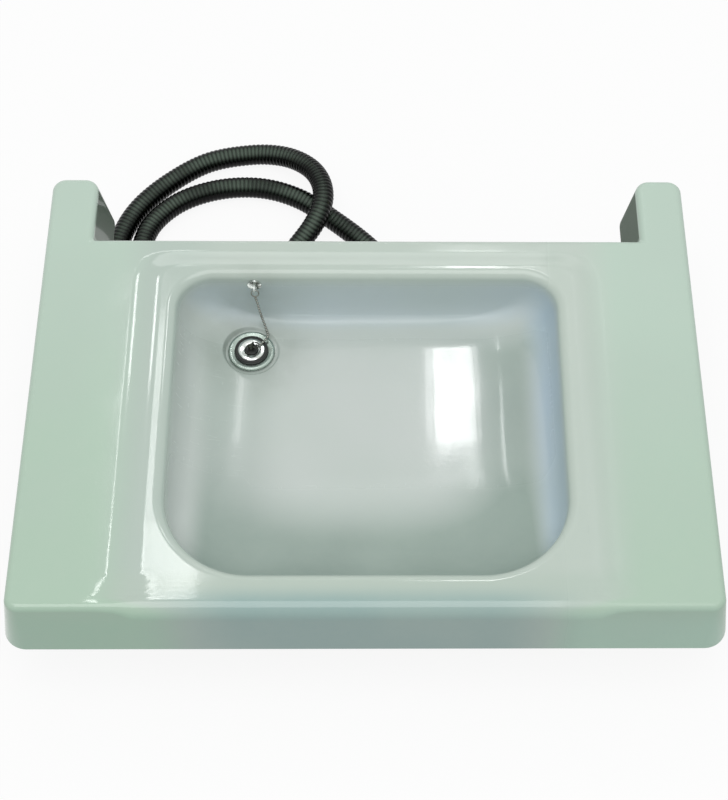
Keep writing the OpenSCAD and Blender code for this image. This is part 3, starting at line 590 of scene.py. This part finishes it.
def rim_section():
    """Section of the rim at turns from the wall's lean to level on the panel: how far out it has come, and how far
    up. The curve's radius grows with the turn's sine, so it runs out softly over the panel. The whole curve is
    scaled so that it rises by the rim's height."""
    turn = np.linspace(np.arctan(LEAN / BOWL_H), np.pi / 2, 181)
    middle = (turn[1:] + turn[:-1]) / 2
    step = (RIM_START_R + 2 * (RIM_R - RIM_START_R) * np.sin(middle)) * np.diff(turn)
    step *= RIM_R / np.sum(step * np.cos(middle))
    return tuple(np.concatenate([[0], np.cumsum(step * way(middle))]) for way in (np.sin, np.cos))


def panel_height(x, y):
    """Height of the deck with the panel let into it: halving finds the share of the ramp at a place in plan."""
    low, high = np.zeros_like(x), np.ones_like(x)
    for _ in range(30):
        s = (low + high) / 2
        half = PANEL_W / 2 - PANEL_RAMP * (1 - s)
        rear = DECK_D / 2 - KERB_LAND - KERB_RAMP * (1 - s)
        r = PANEL_R + (PANEL_RAMP + KERB_RAMP) / 2 * s
        over_x, over_y = np.abs(x) - (half - r), y - (rear - r)
        corner = (over_x > 0) & (over_y > 0)
        beyond = np.where(corner, np.hypot(over_x, over_y), np.maximum(over_x, over_y)) - r
        low, high = np.where(beyond > 0, s, low), np.where(beyond > 0, high, s)
    return TOP - PANEL_DROP * (1 - ease(s))


# Half width of the middle field of the deck, out to where the wings begin, the flat strip inside the edge, and
# the stations on each arc of the outline
FIELD_X = 243.0
STRIP = 0.8
ARC_STATIONS = 13


def edge_radius(level):
    """Rounding of the deck's edge: it grows evenly with the panel's depth where the panel runs over the front."""
    return EDGE_R + (NOSE_R - EDGE_R) * (TOP - level) / PANEL_DROP


def edge_rows(level):
    """Section of skirt and edge at stations of the given level: how far each row stands out, and its height. It
    climbs the drafted wall, then turns over the edge's radius and ends in a narrow flat strip."""
    turn = np.linspace(DRAFT, np.pi / 2, 13)
    rise = (TOP - level) * np.tan(DRAFT)
    e = edge_radius(level)
    foot = level - e + e * np.sin(DRAFT) - 1
    plane = [0 * level, 0 * level + 0.8, foot * 0.5, foot]
    out = [(TOP - z) * np.tan(DRAFT) for z in plane]
    out += [rise - e * EDGE_RUN + e * np.cos(a) for a in turn]
    out += [rise - e * EDGE_RUN - STRIP]
    heights = plane + [level - e + e * np.sin(a) for a in turn] + [level]
    return np.stack(out), np.stack(heights)


def middle_field():
    """Deck between the bowl's rim and the wings: from each station of the rim a straight line in plan to a
    rectangle, whose corners are the rim's arcs swelled out square. The height is the panel's."""
    reach = rim_section()[0][-1]
    rim = bowl_ring(0.0, reach, PANEL_Z)
    depth = DECK_D / 2 - EDGE_R * EDGE_RUN - STRIP
    half, rear, front, rear_r, front_r = bowl_sizes(0.0, reach)
    corners = []
    for k in range(4):
        a = corner_angles(k)
        at_rear = k < 2
        r = rear_r if at_rear else front_r
        centre = np.array([(1 if k in (0, 3) else -1) * (half - r), rear - r if at_rear else front + r])
        room = np.array([FIELD_X - abs(centre[0]), depth - abs(centre[1])])
        way = np.stack([np.cos(a), np.sin(a)], axis=-1)
        corners.append(centre + room * way / np.abs(way).max(axis=1, keepdims=True))
    outer = around(corners)
    at_front = outer[:, 1] < 0.001 - depth
    share = np.linspace(0, 1, 44)[:, None, None]
    plan = outer + (rim[:, :2] - outer) * share
    level = panel_height(plan[..., 0], plan[..., 1])
    # At the front the field begins further in, where the edge's rounding is larger
    back = (edge_radius(level[0]) - EDGE_R) * EDGE_RUN - (TOP - level[0]) * np.tan(DRAFT)
    plan[..., 1] += np.where(at_front, back, 0) * (1 - share[..., 0])
    return np.concatenate([plan, level[..., None]], axis=-1), outer


def outline(outer):
    """Stations round the deck at its top, ears included: each with its place, the way in which it moves where
    the wall stands out, and its level. The inner corners of the ears keep their radius as they move."""
    depth = outer[:, 1].max()
    hw, hd = DECK_W / 2, DECK_D / 2

    def arc(x, y, r, first, last, way=None):
        a = np.radians(np.linspace(first, last, ARC_STATIONS))
        turn = np.stack([np.cos(a), np.sin(a)], axis=-1)
        return np.array([x, y]) + r * turn, turn if way is None else np.tile(way, (ARC_STATIONS, 1))

    front_x = np.sort(outer[outer[:, 1] < 0.001 - depth, 0])
    rear_x = np.sort(outer[outer[:, 1] > depth - 0.001, 0])[::-1]
    ear_y = hd + EAR_L - EAR_R
    right = [
        arc(hw - CORNER_R, CORNER_R - hd, CORNER_R, -90, 0),
        arc(hw - EAR_R, ear_y, EAR_R, 0, 90),
        arc(hw - EAR_W + EAR_R, ear_y, EAR_R, 90, 180),
        arc(hw - EAR_W - NOTCH_R, hd + NOTCH_R, NOTCH_R, 0, -90, [-1.0, 1.0]),
    ]
    mirror = np.array([-1, 1])
    left = [(p[::-1] * mirror, n[::-1] * mirror) for p, n in right[::-1]]
    front = [(np.stack([front_x, 0 * front_x - hd], axis=-1), np.tile([0.0, -1.0], (len(front_x), 1)))]
    rear = [(np.stack([rear_x, 0 * rear_x + hd], axis=-1), np.tile([0.0, 1.0], (len(rear_x), 1)))]
    parts = front + right + rear + left
    places, faces = (np.concatenate([part[k] for part in parts]) for k in (0, 1))
    level = np.full(len(places), TOP)
    level[:len(front_x)] = panel_height(front_x, 0 * front_x + 0.001 - depth)
    return places, faces, level, len(front_x), len(rear_x)


def weld(points, faces, rounds):
    """Merges points that lie in the same place, so that neighbouring surfaces join without a seam. The last
    result is the new number of each old point."""
    keys = np.round(points, 3)
    _, first, index = np.unique(keys, axis=0, return_index=True, return_inverse=True)
    index = index.ravel()
    return points[first], index[faces], [index[np.asarray(r)] for r in rounds], index


def point_ways(points, faces):
    """Outward direction at each point: the sum of its faces' cross products."""
    a, b, c, d = (points[faces[:, k]] for k in range(4))
    face_way = np.cross(c - a, d - b)
    ways = np.zeros_like(points)
    np.add.at(ways, faces.ravel(), np.repeat(face_way, 4, axis=0))
    return unit(ways)


def bowl_rows():
    """Bowl from the rim inwards: every twelfth point of the rim's section, the rings of the walls, then straight
    lines in plan from the last ring to the waste's seat, a soft step down to it, and the seat up to its hole."""
    out, up = rim_section()
    rows = [bowl_ring(0.0, out[k], RIM_Z + up[k]) for k in range(172, 0, -12)]
    rows += [bowl_ring(phi) for phi in np.linspace(0, LAST_RING, 20)]
    ring = rows[-1][:, :2]
    way = unit(ring - WASTE)
    rim_of_seat = WASTE + (PAD_R + PAD_LIP) * way
    for share in np.linspace(0, 1, 33)[1:] ** 1.35:
        plan = ring + (rim_of_seat - ring) * share
        rows.append(np.column_stack([plan, bowl_height(plan[:, 0], plan[:, 1])]))
    edge = rows[-1]
    for share in np.linspace(0, 1, 8)[1:]:
        plan = WASTE + (PAD_R + PAD_LIP - PAD_STEP * share) * way
        rows.append(np.column_stack([plan, edge[:, 2] + (PAD_Z - edge[:, 2]) * ease(share)]))
    for r in (PAD_RING, HOLE_R):
        rows.append(np.column_stack([WASTE + r * way, np.full(len(way), PAD_Z)]))
    return rows


def sink_shell():
    """The moulding: skirt and edge carried round the outline, the middle field, the two wings as flat faces and
    the bowl make the outer skin. The inner skin is the outer one set back by the wall along its directions, and
    strips join both at the skirt's lower edge and at the waste's hole."""
    field, outer = middle_field()
    places, ways_out, level, fronts, rears = outline(outer)
    out, heights = edge_rows(level)
    rows, stations = out.shape
    skirt = np.concatenate([places + out[..., None] * ways_out, heights[..., None]], axis=-1)
    inside = np.concatenate([field, np.array(bowl_rows())])
    points = np.concatenate([skirt.reshape(-1, 3), inside.reshape(-1, 3)])
    base, top_row = rows * stations, (rows - 1) * stations
    faces = np.concatenate([quads(rows, stations), base + quads(len(inside), field.shape[1])])
    half = (stations - fronts - rears) // 2

    def field_side(way):
        """Stations of the field's side, from its rear corner to its front one, without the corners."""
        on_side = np.flatnonzero(np.abs(outer[:, 0] - way * FIELD_X) < 0.001)
        return base + on_side[np.argsort(-outer[on_side, 1])][1:-1]

    right = np.concatenate([top_row + np.arange(fronts - 1, fronts + half + 1), field_side(1)])
    first = fronts + half + rears - 1
    left = np.concatenate([top_row + np.arange(first, first + half + 2) % stations, field_side(-1)[::-1]])
    points, faces, rounds, index = weld(points, faces, [right, left])
    inner = points - WALL * point_ways(points, faces)
    count = len(points)

    # Inner edge of the skirt's foot, and of the waste's hole
    seat = index[np.arange(stations)]
    inner[seat] = np.column_stack([places + ((TOP - WALL) * np.tan(DRAFT) - INNER_IN) * ways_out, 0 * level])
    hole = index[base + (len(inside) - 1) * field.shape[1] + np.arange(field.shape[1])]
    inner[hole] = points[hole] - np.array([0, 0, WALL])
    seat_on, hole_on = np.roll(seat, -1), np.roll(hole, -1)
    seat_strip = np.stack([seat + count, seat_on + count, seat_on, seat], axis=-1)
    hole_strip = np.stack([hole, hole_on, hole_on + count, hole + count], axis=-1)
    all_faces = np.concatenate([faces, seat_strip, hole_strip, faces[:, ::-1] + count])
    fronts_of = len(faces) + len(seat_strip) + len(hole_strip)
    backs = np.concatenate([np.zeros(fronts_of), np.ones(len(faces)), [0, 0, 1, 1]])
    piece = add_piece("sink_shell", np.concatenate([points, inner]), all_faces, FINISHES["moulding"],
                      rounds=rounds + [r[::-1] + count for r in rounds], second=(back_moulding(), backs), sharp=40)
    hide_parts("sink_moulding")


sink_shell()

# The CAD's other pieces keep their shapes and take their finishes
SLOTS = {part["node"]: part["material_slot"] for part in frame["record"]["subparts"]}
for node, slot in SLOTS.items():
    kept = frame["nodes"][node]
    kept.data.materials.clear()
    kept.data.materials.append(OWN_FINISHES.get(node, FINISHES[slot]))


def window(name, place, target, width, height, power, tint=(1, 1, 1)):
    """Soft rectangular light at a place, turned to its target."""
    light = bpy.data.lights.new(name, "AREA")
    light.shape = "RECTANGLE"
    light.size, light.size_y, light.energy, light.color = width, height, power, tint
    lamp = bpy.data.objects.new(name, light)
    lamp.location = place
    lamp.rotation_euler = (Vector(target) - Vector(place)).to_track_quat("-Z", "Y").to_euler()
    bpy.context.scene.collection.objects.link(lamp)


# Above the front a large soft window gives most of the light. Small bright ones that face straight down from above
# the rear show only as highlights: three panes as the patch in the bowl, and two strips along the left of the
# panel. A low wide one behind makes the line on the bowl's front rim.
window("sky_window", (0.0, -0.5, 2.6), (0, -0.5, 0), 2.4, 2.0, 27)
window("pane_thin", (0.122, 1.575, 2.2), (0.122, 1.575, 0), 0.055, 0.33, 0.3, (1, 0.99, 1))
window("pane_wide", (0.25, 1.575, 2.2), (0.25, 1.575, 0), 0.15, 0.33, 1.9, (1, 0.99, 1))
window("pane_edge", (0.375, 1.56, 2.2), (0.375, 1.56, 0), 0.03, 0.28, 0.32, (1, 0.99, 1))
window("strip_far", (-0.48, 1.32, 2.2), (-0.48, 1.32, 0), 0.09, 0.56, 0.95)
window("strip_near", (-0.445, 0.93, 2.2), (-0.445, 0.93, 0), 0.13, 0.2, 0.66)
window("rear_window", (0.25, 2.4, 1.7), (0.05, -0.16, 0.05), 1.4, 0.08, 1.4, (0.97, 1, 0.98))

# Surroundings: nearly white to the camera and in reflections, and half as bright where they only light
world = bpy.data.worlds.new("studio")
bpy.context.scene.world = world
w = Finish("studio", world)
background = w.node("ShaderNodeBackground", sockets={
    "Color": (0.97, 1.0, 0.98, 1), "Strength": 0.5 + 0.5 * w.shown()})
w.node("ShaderNodeOutputWorld", sockets={"Surface": background})

# The floor is a disc level with the hose's lowest point, in metres
FLOOR_R, FLOOR_Z, FLOOR_SIDES = 6, -0.0712, 96


def floor():
    """Pale floor under hose and sink: a disc, white to the camera and in reflections, that keeps the object's
    shadow and throws only some light back up."""
    f = Finish("floor_white")
    shown = f.shown()
    pale = f.node("ShaderNodeBsdfDiffuse", sockets={"Color": f.mix(shown, (0.42, 0.43, 0.42, 1), (1, 1, 1, 1))})
    glow = f.node("ShaderNodeEmission", sockets={"Color": (1, 1, 1, 1), "Strength": 1.0})
    mixed = f.node("ShaderNodeMixShader", sockets={0: shown * 0.9, 1: pale, 2: glow})
    f.node("ShaderNodeOutputMaterial", sockets={"Surface": mixed})
    mesh = bpy.data.meshes.new("floor")
    turn = np.linspace(0, 2 * np.pi, FLOOR_SIDES, endpoint=False)
    ring = np.column_stack([FLOOR_R * np.cos(turn), FLOOR_R * np.sin(turn), 0 * turn + FLOOR_Z])
    mesh.from_pydata(ring.tolist(), [], [list(range(FLOOR_SIDES))])
    mesh.materials.append(f.owner)
    piece = bpy.data.objects.new("floor", mesh)
    bpy.context.scene.collection.objects.link(piece)


floor()

bpy.context.scene.view_settings.view_transform = "Standard"
